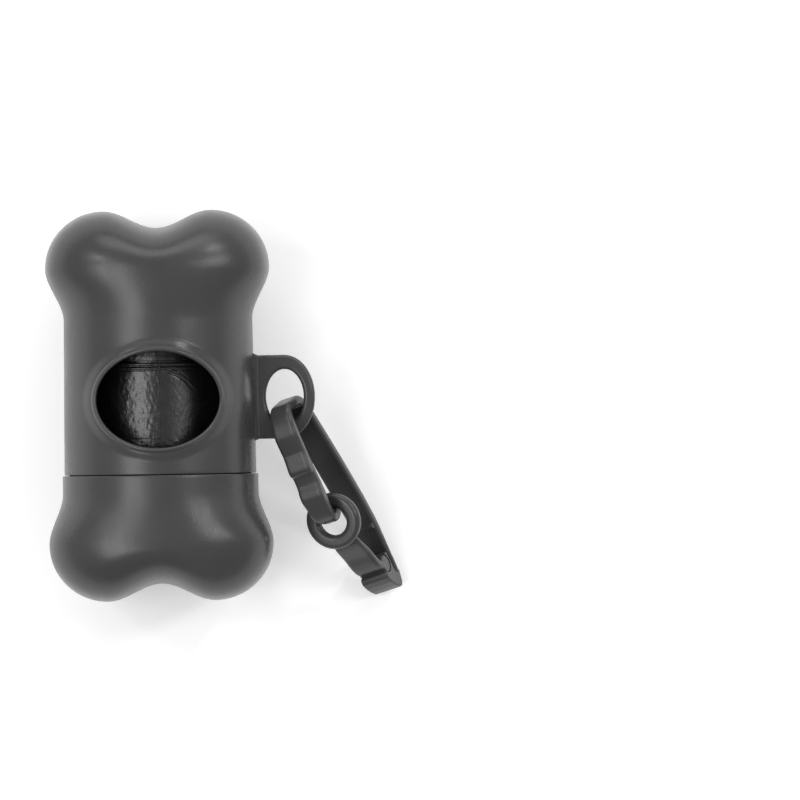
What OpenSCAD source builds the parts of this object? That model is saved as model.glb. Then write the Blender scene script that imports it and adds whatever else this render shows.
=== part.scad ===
// Bone-shaped dispenser for a roll of waste bags, with a snap clip on its eyelet.
// It lies on its back: X runs across the bone, Y along it towards the plain end, Z up.
// The origin is on the table, under the middle of the tube.
// Lengths along the bone are counted from the tip of the cap.

/* [Case] */
// Length of the bone over both ends
bone_length = 83; // [78:0.5:100]
// Radius of the chamber that holds the bags
chamber_radius = 17.6; // [17:0.1:19]
// Wall of the case beside its upper end
case_wall = 2.45; // [2.3:0.05:3.2]
// Extra radius that the draft of the mould adds at the seam
case_draft = 0.35; // [0.1:0.05:0.6]
// Thickness of the two ends behind the chamber, at the valleys
end_wall = 3.4; // [2.5:0.1:5]
// Radius of the chamber's inside corners
chamber_fillet = 2.5; // [1.5:0.1:3]

/* [Bone ends] */
// Height of each end over its widest section
lobe_height = 12.2; // [11:0.1:13.5]
// How far the lobes stand out sideways past the cap's rim
lobe_flare = 3; // [2:0.1:5]
// Distance of a lobe's highest point from the middle
lobe_spread = 11.4; // [10:0.1:12.5]
// Depth of the valley between the two lobes
valley_depth = 3.75; // [2:0.05:4.5]
// Length of the neck that leads into each end
neck_length = 11; // [9:0.5:13]

/* [Cap] */
// Height of the cap from its tip to the seam
cap_height = 27; // [25:0.5:30]
// Step from the case out to the cap's rim
rim_step = 0.4; // [0.2:0.05:0.8]
// Gap that shows as the seam line
seam_gap = 0.15; // [0.1:0.05:0.3]
// Length of the case's collar that plugs into the cap
spigot_length = 7; // [5:0.5:9]
// Wall of that collar
spigot_wall = 1.6; // [1.3:0.05:1.7]
// Clearance round the collar in the cap
spigot_clearance = 0.25; // [0.15:0.05:0.3]
// Clearance of the collar's snap bead in the cap
bead_clearance = 0.05; // [0.03:0.01:0.08]

/* [Window] */
// Width of the window that the bags come out of
window_width = 26.1; // [20:0.1:27]
// Height of the window
window_height = 20.4; // [16:0.1:24]
// Distance of the window's middle from the tip of the cap
window_place = 42.8; // [41:0.1:48]
// Width of the raised lip round the window
lip_width = 1.1; // [0.8:0.1:1.6]
// Height of the lip over the tube
lip_height = 1; // [0.5:0.1:1.4]
// Width of the slope that runs from the lip down to the tube
lip_flare = 2; // [1.2:0.1:2.4]

/* [Eyelet] */
// Distance of the eyelet's middle from the tip of the cap
eyelet_place = 43; // [42:0.1:48]
// Width of the hole
eyelet_hole_width = 8; // [7.6:0.1:9]
// Height of the hole
eyelet_hole_height = 11.7; // [11:0.1:14]
// Material between the tube and the hole
eyelet_bridge = 2.65; // [2:0.05:4]
// Material outside the hole at the side
eyelet_side_wall = 2.4; // [2:0.1:3]
// Material above and below the hole
eyelet_end_wall = 3.05; // [2.5:0.05:3.5]
// Thickness of the eyelet plate
eyelet_thickness = 2.9; // [2:0.1:3]
// Radius of the fillet where the plate meets the tube
eyelet_fillet = 1.2; // [0.5:0.1:1.6]

/* [Bags] */
// Outer radius of the full roll
roll_radius = 14.6; // [11:0.1:14.9]
// Width of the roll, along the bone
roll_length = 57; // [45:0.5:60]
// Outer radius of the cardboard core
core_radius = 7.5; // [6.8:0.1:9]
// Wall of the cardboard core
core_wall = 1.2; // [0.8:0.1:1.6]
// Thickness of the loose first bag, folded flat
first_bag_thickness = 0.4; // [0.2:0.05:0.6]
// Width of the loose first bag
first_bag_width = 17.4; // [12:0.1:19]
// Gap between the bags and the chamber wall that they lie on
rest_gap = 0.3; // [0.2:0.05:0.5]

/* [Clip] */
// Length of the clip
clip_length = 49.5; // [47:0.5:54]
// Size of one unit of the clip's bent profile
clip_unit = 1; // [0.98:0.01:1.04]
// Thickness of the clip's strip
strip_thickness = 2.2; // [1.9:0.05:2.4]
// Width of the strip at the hook
hook_width = 5; // [4.4:0.1:5.4]
// Width of the strip along the spine
spine_width = 5.7; // [5:0.1:6.4]
// Width of the foot and the gate
foot_width = 6.4; // [6:0.1:7]
// Outer radius of the ring on the gate
ring_radius = 6.1; // [5.6:0.05:6.3]
// Radius of the hole in that ring
ring_hole_radius = 3.05; // [3:0.05:3.3]
// Thickness of the ring
ring_thickness = 2.4; // [2:0.1:2.5]
// Radius of the gate's knuckle in the foot
knuckle_radius = 1.88; // [1.7:0.02:2]
// Clearance round the knuckle
knuckle_clearance = 0.07; // [0.04:0.01:0.1]

/* [Hidden] */

around = 64;
overlap = 0.6;
tube_radius = chamber_radius + case_wall;
seam_radius = tube_radius + case_draft;
cap_radius = seam_radius + rim_step;
axis_height = cap_radius;
lobe_reach = cap_radius + lobe_flare;
cap_widest = lobe_height;
case_widest = bone_length - lobe_height;
mid_length = bone_length / 2;

spigot_radius = chamber_radius + spigot_wall;
socket_radius = spigot_radius + spigot_clearance;
socket_floor = cap_height - spigot_length - spigot_clearance;
bead_width = 1.6;
bead_place = cap_height - spigot_length + 1.8;
chamber_floor = valley_depth + end_wall;
chamber_top = bone_length - chamber_floor;

ply_gap = 0.05;
loose_radius = roll_radius + ply_gap + first_bag_thickness;
roll_drop = chamber_radius - loose_radius - rest_gap;
roll_height = axis_height - roll_drop;
roll_start = chamber_floor + chamber_fillet / 2 + 0.1;

eyelet_x = tube_radius + eyelet_bridge + eyelet_hole_width / 2;

// The clip as it lies: its heading from the bone's axis, its slope to the table, its roll.
clip_heading = 24;
clip_slope = 14;
clip_roll = 24;
// Where the top of the clip's bar crosses the eyelet, from the middle of the hole.
bar_ahead = 0.25;
bar_aside = 0.2;
nominal_clip = 49.2 * clip_unit;
clip_scale = clip_length / nominal_clip;
foot_shift = clip_length - nominal_clip;
knuckle = [-4.6, 42.8] * clip_unit + [0, foot_shift];
ring_centre = [3.8, 27.8] * clip_unit + [0, foot_shift];
ring_tilt = 12;

// Smooth rise from 0 to 1.
function ease(t) = let (c = min(1, max(0, t))) c * c * (3 - 2 * c);
function sgn_pow(v, p) = v < 0 ? -pow(-v, p) : pow(v, p);
function unit(v) = v / norm(v);

// The front outline of an end, measured up from its widest section.
function end_outline(x) = let (a = abs(x))
    a < lobe_spread
        ? lobe_height - valley_depth * (1 + cos(180 * a / lobe_spread)) / 2
        : lobe_height * sqrt(max(0, 1 - pow((a - lobe_spread) / (lobe_reach - lobe_spread), 2)));
// The same outline as the height that an oval dome is multiplied by.
function end_height(u) = let (c = min(0.9995, abs(u)))
    end_outline(c * lobe_reach) / sqrt(1 - c * c);

// One section of the bone: half width, half depth, and how square its depth is.
function section(y, half_width, half_depth, square) = [
    for (i = [0 : around - 1]) let (t = 360 * i / around)
        [half_width * cos(t), y, axis_height + half_depth * sgn_pow(sin(t), 1 - square / 3)]
];
// One ring of an end dome, at an angle from its pole.
function dome_ring(y, direction, angle) = [
    for (i = [0 : around - 1]) let (
        t = 360 * i / around,
        u = sin(angle) * cos(t),
        w = sin(angle) * sin(t)
    ) [lobe_reach * u, y + direction * end_height(u) * cos(angle),
       axis_height + cap_radius * sgn_pow(w, 2 / 3)]
];
function dome_pole(y, direction) = [0, y + direction * end_height(0), axis_height];
function neck(y_from, y_to, r_from, steps) = [
    for (i = [1 : steps]) let (t = i / steps, e = ease(t))
        section(y_from + (y_to - y_from) * t, r_from + (lobe_reach - r_from) * e,
                r_from + (cap_radius - r_from) * e, e)
];

// Triangles over a stack of closed rings, closed by a fan to a tip at each end.
module skin(rings, tip_0, tip_1) {
    n = len(rings[0]);
    count = len(rings);
    points = [for (r = rings) each r];
    sides = [for (j = [0 : count - 2]) for (i = [0 : n - 1])
        let (k = (i + 1) % n, a = j * n + i, b = j * n + k, c = b + n, d = a + n)
        each [[a, b, c], [a, c, d]]];
    fan_0 = [for (i = [0 : n - 1]) [(i + 1) % n, i, n * count]];
    fan_1 = [for (i = [0 : n - 1]) [n * (count - 1) + i, n * (count - 1) + (i + 1) % n, n * count + 1]];
    polyhedron(points = concat(points, [tip_0, tip_1]), faces = concat(sides, fan_0, fan_1), convexity = 8);
}

// Triangles over rings whose last one joins the first, as on a lip or a plate with a hole.
module closed_skin(rings) {
    n = len(rings[0]);
    count = len(rings);
    faces = [for (j = [0 : count - 1]) for (i = [0 : n - 1])
        let (k = (i + 1) % n, m = (j + 1) % count, a = j * n + i, b = j * n + k, c = m * n + k, d = m * n + i)
        each [[a, b, c], [a, c, d]]];
    polyhedron(points = [for (r = rings) each r], faces = faces, convexity = 8);
}

// Upright round solid along the bone, from one distance from the cap's tip to another.
module along_bone(from, to, radius, height = axis_height) {
    translate([0, from - mid_length, height]) rotate([-90, 0, 0])
        cylinder(h = to - from, r = radius, $fn = 96);
}

// Chamber with rounded inside corners at one end.
module chamber(open_end, closed_end) {
    direction = closed_end > open_end ? 1 : -1;
    depth = abs(closed_end - open_end);
    corner = [for (a = [0 : 15 : 90])
        [chamber_radius - chamber_fillet + chamber_fillet * cos(a),
         depth - chamber_fillet + chamber_fillet * sin(a)]];
    translate([0, open_end - mid_length, axis_height]) rotate([-90 * direction, 0, 0])
        rotate_extrude($fn = 96)
            polygon(concat([[0, 0], [chamber_radius, 0]], corner, [[0, depth]]));
}

// Outer radius of the tube at a distance from the cap's tip.
neck_start = case_widest - neck_length;
function case_radius(at) = seam_radius - case_draft * (at - cap_height) / (neck_start - cap_height);

// Points round the window, grown outward along the ellipse's own normal.
function window_ring(grow, level) = [
    for (i = [0 : 47]) let (
        t = 360 * i / 48,
        p = [window_width / 2 * cos(t), window_height / 2 * sin(t)],
        q = p + grow * unit([window_height * cos(t), window_width * sin(t)]),
        r = case_radius(q[1] + window_place) + level
    ) [q[0], q[1] + window_place - mid_length, axis_height + sqrt(r * r - q[0] * q[0])]
];

module window_lip() {
    r = lip_width / 4;
    run = lip_width + lip_flare;
    profile = [[-overlap, -case_wall / 2], [-overlap, lip_height], [lip_width - r, lip_height],
               [lip_width, lip_height - r / 2], [lip_width + lip_flare * 0.3, lip_height * 0.42],
               [lip_width + lip_flare * 0.65, lip_height * 0.12], [run, -0.08], [run, -case_wall / 2]];
    closed_skin([for (p = profile) window_ring(p[0], p[1])]);
}

module window_cut() {
    translate([0, window_place - mid_length, axis_height])
        linear_extrude(height = tube_radius + lip_height + 2)
            polygon([for (i = [0 : 47]) let (t = 360 * i / 48)
                [window_width / 2 * cos(t), window_height / 2 * sin(t)]]);
}

// The eyelet plate: square to the tube, half an ellipse outside, with an oval hole.
eyelet_steps = 72;
eyelet_root = tube_radius - case_wall * 0.6;
function eyelet_inner(t) = [eyelet_hole_width / 2 * cos(t), eyelet_hole_height / 2 * sin(t)];
function eyelet_outer(t) = let (
    half = eyelet_hole_height / 2 + eyelet_end_wall,
    reach = eyelet_hole_width / 2 + eyelet_side_wall,
    root = eyelet_x - eyelet_root,
    c = cos(t), s = sin(t),
    straight = min(root / max(0.001, abs(c)), half / max(0.001, abs(s)))
) c >= 0 ? [reach * c, half * s] : [straight * c, straight * s];
function eyelet_half(x) = let (
    inward = min(1, max(0, (tube_radius + eyelet_fillet - x) / eyelet_fillet))
) eyelet_thickness / 2 + eyelet_fillet * 0.8 * inward * inward;
function eyelet_ring(from_hole, share, drop, side) = [
    for (i = [0 : eyelet_steps - 1]) let (
        t = 360 * i / eyelet_steps,
        a = eyelet_inner(t), b = eyelet_outer(t), d = unit(b - a),
        p = from_hole ? a + d * drop : b - d * drop,
        x = eyelet_x + p[0]
    ) [x, p[1] + eyelet_place - mid_length, axis_height + side * (eyelet_half(x) - share)]
];
module eyelet() {
    r = 0.8;
    bend = [0, 30, 60, 90];
    back = [90, 60, 30, 0];
    closed_skin(concat(
        [for (a = bend) eyelet_ring(true, r * (1 - sin(a)), r * (1 - cos(a)), 1)],
        [for (a = back) eyelet_ring(false, r * (1 - sin(a)), r * (1 - cos(a)), 1)],
        [for (a = bend) eyelet_ring(false, r * (1 - sin(a)), r * (1 - cos(a)), -1)],
        [for (a = back) eyelet_ring(true, r * (1 - sin(a)), r * (1 - cos(a)), -1)]
    ));
}

module case_shell() {
    skin(concat(
        [for (i = [0 : 4]) let (at = cap_height + (neck_start - cap_height) * i / 4, r = case_radius(at))
            section(at - mid_length, r, r, 0)],
        neck(neck_start - mid_length, case_widest - mid_length, tube_radius, 7),
        [for (a = [80 : -10 : 10]) dome_ring(case_widest - mid_length, 1, a)]
    ), [0, cap_height - mid_length, axis_height], dome_pole(case_widest - mid_length, 1));
}

module spigot() {
    translate([0, cap_height - spigot_length - mid_length, axis_height]) rotate([-90, 0, 0])
        rotate_extrude($fn = 96) let (
            bead = socket_radius - bead_clearance,
            place = bead_place - cap_height + spigot_length
        ) polygon([
            [chamber_radius - overlap, 0], [spigot_radius - 0.4, 0], [spigot_radius, 0.6],
            [spigot_radius, place - bead_width / 2], [bead, place - bead_width / 6],
            [bead, place + bead_width / 6], [spigot_radius, place + bead_width / 2],
            [spigot_radius, spigot_length + overlap], [chamber_radius - overlap, spigot_length + overlap]
        ]);
}

module upper_case() {
    color("dimgray") difference() {
        union() {
            case_shell();
            spigot();
            window_lip();
            eyelet();
        }
        chamber(cap_height - spigot_length - 1, chamber_top);
        window_cut();
    }
}

module lower_cap() {
    neck_end = cap_widest + neck_length;
    color("dimgray") difference() {
        skin(concat(
            [for (a = [10 : 10 : 80]) dome_ring(cap_widest - mid_length, -1, a)],
            [for (i = [7 : -1 : 0]) let (t = i / 7, e = ease(t))
                section(neck_end + (cap_widest - neck_end) * t - mid_length,
                        cap_radius + lobe_flare * e, cap_radius, e)],
            [section(cap_height - seam_gap - mid_length, cap_radius, cap_radius, 0)]
        ), dome_pole(cap_widest - mid_length, -1), [0, cap_height - seam_gap - mid_length, axis_height]);
        chamber(cap_height + 1, chamber_floor);
        along_bone(socket_floor, cap_height + 1, socket_radius);
    }
}

module bag_core() {
    color("tan") difference() {
        along_bone(roll_start, roll_start + roll_length, core_radius, roll_height);
        along_bone(roll_start - 1, roll_start + roll_length + 1, core_radius - core_wall, roll_height);
    }
}

module bag_roll() {
    color("black") difference() {
        along_bone(roll_start + 0.3, roll_start + roll_length - 0.3, roll_radius, roll_height);
        along_bone(roll_start - 1, roll_start + roll_length + 1, core_radius + ply_gap, roll_height);
    }
}

// The free end of the first bag, folded flat and lying once round the roll under the window.
module leading_bag() {
    centre = window_place - 0.9;
    reach = 2 * roll_radius;
    free_edge = 91;
    tucked_edge = 20;
    color("black") difference() {
        along_bone(centre - first_bag_width / 2, centre + first_bag_width / 2, loose_radius, roll_height);
        along_bone(centre - first_bag_width, centre + first_bag_width, roll_radius + ply_gap, roll_height);
        translate([0, centre + first_bag_width - mid_length, roll_height]) rotate([90, 0, 0])
            linear_extrude(height = 2 * first_bag_width)
                polygon([[0, 0], reach * [cos(tucked_edge), sin(tucked_edge)],
                         reach * [cos(tucked_edge), 1], reach * [cos(free_edge), 1]]);
    }
}

// Places children in the clip's own frame: X across the loop towards the hook,
// Y from the bar down to the foot, Z across the strip.
module in_clip_frame() {
    ahead = [sin(clip_heading), -cos(clip_heading)];
    aside = [-cos(clip_heading), -sin(clip_heading)];
    start = [eyelet_x, eyelet_place - mid_length] + bar_ahead * ahead + bar_aside * aside;
    translate([start[0], start[1], axis_height])
        rotate([0, 0, clip_heading]) rotate([clip_slope, 0, 0]) rotate([0, -clip_roll, 0])
            rotate([0, -90, 180]) children();
}

// A rounded strip swept along stations of [x, y, width, thickness].
corner_turns = [10, 45, 80];
function strip_ring(centre, direction, width, thickness, round_to) = let (
    r = min(round_to, thickness * 0.45),
    across = [direction[1], -direction[0]],
    h = thickness / 2 - r,
    w = width / 2 - r
) [for (q = [0 : 3]) for (a = corner_turns) let (
        c = cos(90 * q + a), s = sin(90 * q + a),
        x = (c > 0 ? h : -h) + r * c, z = (s > 0 ? w : -w) + r * s
    ) [centre[0] + across[0] * x, centre[1] + across[1] * x, z]];
module strip(stations, round_to = 0.7 * clip_unit) {
    last = len(stations) - 1;
    at = [for (s = stations) [s[0], s[1]]];
    heading = [for (i = [0 : last]) unit(at[min(last, i + 1)] - at[max(0, i - 1)])];
    tip_0 = at[0] - heading[0] * 0.3 * clip_unit;
    tip_1 = at[last] + heading[last] * 0.3 * clip_unit;
    skin([for (i = [0 : last]) strip_ring(at[i], heading[i], stations[i][2], stations[i][3], round_to)],
         [tip_0[0], tip_0[1], 0], [tip_1[0], tip_1[1], 0]);
}

module clip_frame() {
    t = strip_thickness;
    m = strip_thickness / 2;
    u = clip_unit;
    // The third number is the share of the foot's extra width.
    spine = [for (p = [[-8.2, 44.5, 1], [-8.4, 42.2, 1], [-9.2, 39, 0.43], [-9.5, 35, 0.14], [-9, 31, 0.14],
                       [-8.1, 26.7, 0.14], [-6.3, 18, 0], [-4.4, 9.3, 0], [-3.8, 5.6, -0.28]])
        [p[0] * u, p[1] * u * clip_scale, spine_width + (foot_width - spine_width) * p[2], t]];
    // The last two numbers are shares of half the strip's thickness.
    bend = [for (p = [[-2.45, 3.2, 0.3, -1, 0], [-2.3, 2.15, 0.4, -0.75, -0.1], [-2.3, 0.15, 0.4, 0, 1],
                      [-1.2, 0, 0.4, 0, 1], [0.8, 0, 0.4, 0, 1], [3.1, -0.05, 0.4, 0, 1],
                      [4.4, 0.15, 0.4, 0, 1], [5.4, 1.1, 0.3, 0, 1], [6.35, 2.7, 0.1, 0, 1],
                      [7.05, 4.6, 0, 0, 1]])
        [p[0] * u + p[3] * m, p[1] * u + p[4] * m, hook_width - p[2] * u, t - p[2] * 0.4 * u]];
    // Thumb steps: the outer face rises and falls twice.
    arm = [for (p = [[7.25, 7.4, 0], [7.35, 9.3, 0], [7.5, 12.6, 0.35], [7.42, 13.4, 0.15], [7.38, 16.2, 0],
                     [7.65, 18.6, 0.4], [7.75, 19.6, 0.2]])
        [p[0] * u, p[1] * u, hook_width, t + p[2] * u]];
    nose = [for (p = [[7.8, 21.5, 1, 1], [7.65, 23.4, 0.96, 1], [7.15, 25.1, 0.86, 0.96], [6, 26.6, 0.74, 0.93],
                      [4.3, 27.25, 0.66, 0.9], [2.75, 27.15, 0.64, 0.86], [1.6, 26.5, 0.64, 0.82],
                      [0.95, 25.5, 0.62, 0.76], [0.8, 24.75, 0.5, 0.6]])
        [p[0] * u, p[1] * u + foot_shift, hook_width * p[2], t * p[3]]];
    // The foot's outline, from the knuckle's middle.
    foot = [for (p = [[-4.9, -1.6], [-4.9, 0.8], [-4.4, 3.6], [-3.6, 5.9], [-2.8, 6.6], [-1.7, 6.4], [1.4, 3.9],
                      [2.6, 2.2], [2.4, 1.1], [0, 0], [-1.8, -2.2], [-3, -2.8]]) knuckle + p * u];
    color("dimgray") in_clip_frame() difference() {
        union() {
            strip(concat(spine, bend, arm, nose));
            translate([0, 0, -foot_width / 2]) linear_extrude(height = foot_width) polygon(foot);
            translate([-8.9 * u, 34.6 * u * clip_scale, -spine_width / 2 + 0.4 * u])
                cube([1.3 * u, u, spine_width - 0.8 * u]);
        }
        translate([knuckle[0], knuckle[1], 0])
            cylinder(h = foot_width + 2, r = knuckle_radius + knuckle_clearance, center = true, $fn = 48);
    }
}

module gate_ring() {
    r = ring_thickness * 0.33;
    h = ring_thickness / 2 - r;
    a = ring_hole_radius + r;
    b = ring_radius - r;
    turns = [0, 30, 60, 90];
    translate([ring_centre[0], ring_centre[1], 0]) rotate([0, 0, -ring_tilt]) rotate([0, 90, 0])
        rotate_extrude($fn = 64) polygon(concat(
            [for (t = turns) [b + r * cos(t), h + r * sin(t)]],
            [for (t = turns) [a + r * cos(t + 90), h + r * sin(t + 90)]],
            [for (t = turns) [a + r * cos(t + 180), -h + r * sin(t + 180)]],
            [for (t = turns) [b + r * cos(t + 270), -h + r * sin(t + 270)]]
        ));
}

module clip_gate() {
    u = clip_unit;
    grip = ring_radius - (ring_radius - ring_hole_radius) * 0.7;
    ring_foot = ring_centre + grip * [-sin(ring_tilt), cos(ring_tilt)];
    // Distance from the knuckle, how much narrower than the foot, and thickness.
    lever = [for (p = [[3.95, -5.5, 0, 3.1], [2.4, -3.2, 0.1, 2.9], [1.1, -1.5, 0.2, 2.5], [0.35, -0.5, 0.3, 2.2]])
        [knuckle[0] + p[0] * u, knuckle[1] + p[1] * u, foot_width - p[2] * u, p[3] * u]];
    color("dimgray") in_clip_frame() {
        gate_ring();
        strip(concat([[ring_foot[0], ring_foot[1], foot_width - u, ring_thickness],
                      [ring_foot[0] - 0.9 * u, ring_foot[1] + 2.2 * u, foot_width - 0.2 * u, 2.8 * u]],
                     lever), 0.8 * u);
        translate([knuckle[0], knuckle[1], 0])
            cylinder(h = foot_width - 0.2 * u, r = knuckle_radius, center = true, $fn = 48);
    }
}

upper_case();
lower_cap();
bag_core();
bag_roll();
leading_bag();
clip_frame();
clip_gate();
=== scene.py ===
"""A bone-shaped dispenser for a roll of waste bags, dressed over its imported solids.

Lengths are written in millimetres, in the row frame: X across the bone, Y along it
towards the plain end, Z up. Each mesh is turned into metres as it is made.
"""

import logging
import math
from dataclasses import dataclass, field
from enum import Enum
from typing import Callable, Iterable, Sequence

import bmesh
import bpy
from mathutils import Matrix, Vector, noise


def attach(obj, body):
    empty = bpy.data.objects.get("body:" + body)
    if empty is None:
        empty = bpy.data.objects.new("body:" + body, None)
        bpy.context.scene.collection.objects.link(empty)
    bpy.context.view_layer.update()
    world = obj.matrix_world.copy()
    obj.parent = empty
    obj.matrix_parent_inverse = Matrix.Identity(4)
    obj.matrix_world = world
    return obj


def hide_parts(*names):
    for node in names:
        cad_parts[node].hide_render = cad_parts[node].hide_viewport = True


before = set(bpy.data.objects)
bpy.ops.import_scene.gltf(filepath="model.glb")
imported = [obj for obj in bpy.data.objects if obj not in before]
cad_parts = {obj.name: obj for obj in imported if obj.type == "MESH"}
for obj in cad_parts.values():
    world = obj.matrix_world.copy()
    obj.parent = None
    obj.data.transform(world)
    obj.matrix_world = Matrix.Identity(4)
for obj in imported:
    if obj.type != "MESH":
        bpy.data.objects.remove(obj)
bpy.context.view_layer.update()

log = logging.getLogger("dispenser")

MM = 0.001
AROUND = 240
Point = tuple[float, float, float]
Ring = list[int]
Station = tuple[float, float, float, float]


class Body(Enum):
    """The bodies that the pieces ride on."""

    CASE = "case"
    CAP = "cap"
    ROLL = "roll"
    CLIP = "clip"
    GATE = "gate"


class Slot(Enum):
    """The record's material slots."""

    CASE_PLASTIC = "case_plastic"
    CLIP_PLASTIC = "clip_plastic"
    BAG_FILM = "bag_film"
    CORE_CARDBOARD = "core_cardboard"


def ease(t: float) -> float:
    """Smooth rise from 0 to 1 as t goes from 0 to 1."""
    c = min(1.0, max(0.0, t))
    return c * c * (3 - 2 * c)


def blend(a: float, b: float, t: float) -> float:
    """The value a share t of the way from a to b."""
    return a + (b - a) * t


def steps(a: float, b: float, count: int) -> list[float]:
    """Evenly spaced values from a to b.

    Args:
        a: First value.
        b: Last value.
        count: Number of intervals.

    Returns:
        count + 1 values, with both ends.
    """
    return [blend(a, b, i / count) for i in range(count + 1)]


def bump(x: float, centre: float, width: float) -> float:
    """A smooth hump of height 1 at centre that fades out over width to each side."""
    return math.exp(-(((x - centre) / width) ** 2))


@dataclass
class MeshDraft:
    """Points in millimetres and faces, gathered before they become an object."""

    points: list[Point] = field(default_factory=list)
    faces: list[tuple[int, ...]] = field(default_factory=list)

    def ring(self, points: Iterable[Sequence[float]]) -> Ring:
        """Adds points and returns their numbers in order."""
        start = len(self.points)
        self.points.extend((float(p[0]), float(p[1]), float(p[2])) for p in points)
        return list(range(start, len(self.points)))

    def bridge(self, a: Ring, b: Ring, closed: bool = True) -> None:
        """Fills the strip between two rows of equal length with quads.

        Args:
            a: First row.
            b: Second row.
            closed: True if the rows run all the way round.
        """
        n = len(a)
        for i in range(n if closed else n - 1):
            k = (i + 1) % n
            self.faces.append((a[i], a[k], b[k], b[i]))

    def loft(self, rings: Sequence[Ring], closed: bool = True) -> None:
        """Bridges each row to the next."""
        for a, b in zip(rings, rings[1:]):
            self.bridge(a, b, closed)

    def fan(self, ring: Ring, tip: Sequence[float]) -> None:
        """Closes a ring with triangles to one point."""
        top = self.ring([tip])[0]
        for i, a in enumerate(ring):
            self.faces.append((a, ring[(i + 1) % len(ring)], top))

    def build(self, name: str, sharp: float = 40.0) -> bpy.types.Object:
        """Makes the object, in metres, smooth except over sharp edges.

        Args:
            name: Name of the piece.
            sharp: Angle in degrees over which an edge stays crisp.

        Returns:
            The linked object.
        """
        mesh = bpy.data.meshes.new(name)
        mesh.from_pydata([(x * MM, y * MM, z * MM) for x, y, z in self.points], [], self.faces)
        work = bmesh.new()
        work.from_mesh(mesh)
        bmesh.ops.remove_doubles(work, verts=work.verts, dist=2e-7)
        bmesh.ops.recalc_face_normals(work, faces=work.faces)
        work.to_mesh(mesh)
        work.free()
        mesh.shade_smooth()
        mesh.set_sharp_from_angle(angle=math.radians(sharp))
        piece = bpy.data.objects.new(name, mesh)
        bpy.context.scene.collection.objects.link(piece)
        return piece


def bake(piece: bpy.types.Object) -> bpy.types.Object:
    """Turns a piece's modifiers into plain mesh, so that none is left on it."""
    graph = bpy.context.evaluated_depsgraph_get()
    made = bpy.data.meshes.new_from_object(piece.evaluated_get(graph))
    old = piece.data
    piece.modifiers.clear()
    piece.data = made
    made.name = piece.name
    bpy.data.meshes.remove(old)
    return piece


def settle(
    piece: bpy.types.Object, body: Body, slot: Slot, finish: bpy.types.Material, *nodes: str
) -> None:
    """Gives a finished piece its material, body and the solids it stands for.

    Args:
        piece: The object.
        body: The body that carries it.
        slot: The record's slot of its finish; not used.
        finish: Its material.
        nodes: Solids that it replaces, if any.
    """
    piece.data.materials.clear()
    piece.data.materials.append(finish)
    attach(piece, body.value)
    if nodes:
        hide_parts(*nodes)
    log.info("%s: %d faces on %s", piece.name, len(piece.data.polygons), body.value)


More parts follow.
